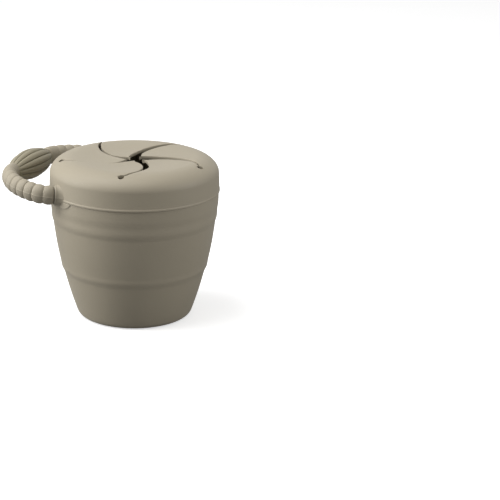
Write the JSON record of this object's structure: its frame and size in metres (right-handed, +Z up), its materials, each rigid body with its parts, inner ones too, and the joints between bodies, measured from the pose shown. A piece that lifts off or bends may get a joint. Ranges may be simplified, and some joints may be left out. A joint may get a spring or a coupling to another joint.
{
  "type": "collapsible snack cup",
  "caption": "Soft snack cup that folds flat, with a lid of curved flaps that a small hand reaches through, and a ribbed loop handle with a fluted grip.",
  "frame": {"origin": "centre of the underside of the cup, on the ground", "axes": "+Z up along the cup's axis, -X out of the cup towards the handle, +Y to the left of a hand that holds the handle"},
  "size_m": [0.124, 0.096, 0.092],
  "materials": {
    "cup": "matte silicone",
    "lid": "matte silicone",
    "flap": "matte silicone",
    "strap": "matte silicone",
    "grip": "matte silicone"
  },
  "bodies": {
    "cup": {"cup_base": "cup", "cup_fold_wall": "cup"},
    "rim": {"cup_rim": "cup"},
    "lid": {"lid_shell": "lid", "strap_root_left": "strap", "strap_root_right": "strap"},
    "flap_1": {"lid_flap_1": "flap"},
    "flap_2": {"lid_flap_2": "flap"},
    "flap_3": {"lid_flap_3": "flap"},
    "flap_4": {"lid_flap_4": "flap"},
    "flap_5": {"lid_flap_5": "flap"},
    "strap_near": {"strap_near_left": "strap", "strap_near_right": "strap"},
    "strap_middle": {"strap_middle_left": "strap", "strap_middle_right": "strap"},
    "handle": {"strap_far_left": "strap", "strap_far_right": "strap", "grip_bead": "grip"}
  },
  "joints": [
    {"name": "collapse", "type": "slide", "parent": "cup", "child": "rim", "axis": [0, 0, -1], "range_m": [0, 0.056], "deforming": ["cup_fold_wall"]},
    {"name": "lid_lift", "type": "slide", "parent": "rim", "child": "lid", "axis": [0, 0, 1], "range_m": [0, 0.04]},
    {"name": "flap_1_bend", "type": "hinge", "parent": "lid", "child": "flap_1", "pos_m": [0.02742, 0.01849, 0.09105], "axis": [0.5592, -0.829, 0], "range_deg": [-20, 45], "stiffness_Nm_per_rad": 0.02},
    {"name": "flap_2_bend", "type": "hinge", "parent": "lid", "child": "flap_2", "pos_m": [-0.00911, 0.03179, 0.09105], "axis": [0.9613, 0.2756, 0], "range_deg": [-20, 45], "stiffness_Nm_per_rad": 0.02},
    {"name": "flap_3_bend", "type": "hinge", "parent": "lid", "child": "flap_3", "pos_m": [-0.03305, 0.00115, 0.09105], "axis": [0.0349, 0.9994, 0], "range_deg": [-20, 45], "stiffness_Nm_per_rad": 0.02},
    {"name": "flap_4_bend", "type": "hinge", "parent": "lid", "child": "flap_4", "pos_m": [-0.01131, -0.03107, 0.09105], "axis": [-0.9397, 0.342, 0], "range_deg": [-20, 45], "stiffness_Nm_per_rad": 0.02},
    {"name": "flap_5_bend", "type": "hinge", "parent": "lid", "child": "flap_5", "pos_m": [0.02606, -0.02036, 0.09105], "axis": [-0.6157, -0.788, 0], "range_deg": [-20, 45], "stiffness_Nm_per_rad": 0.02},
    {"name": "strap_near_bend", "type": "hinge", "parent": "lid", "child": "strap_near", "pos_m": [-0.0397, 0, 0.0769], "axis": [0, 1, 0], "range_deg": [-15, 20], "stiffness_Nm_per_rad": 0.25},
    {"name": "strap_middle_bend", "type": "hinge", "parent": "strap_near", "child": "strap_middle", "pos_m": [-0.04988, 0, 0.07793], "axis": [0, 1, 0], "range_deg": [-15, 20], "stiffness_Nm_per_rad": 0.2},
    {"name": "strap_far_bend", "type": "hinge", "parent": "strap_middle", "child": "handle", "pos_m": [-0.05874, 0, 0.07883], "axis": [0, 1, 0], "range_deg": [-15, 20], "stiffness_Nm_per_rad": 0.2}
  ],
  "couplings": [
    {"joint": "strap_middle_bend", "follows": "strap_near_bend", "ratio": 1},
    {"joint": "strap_far_bend", "follows": "strap_near_bend", "ratio": 1}
  ]
}
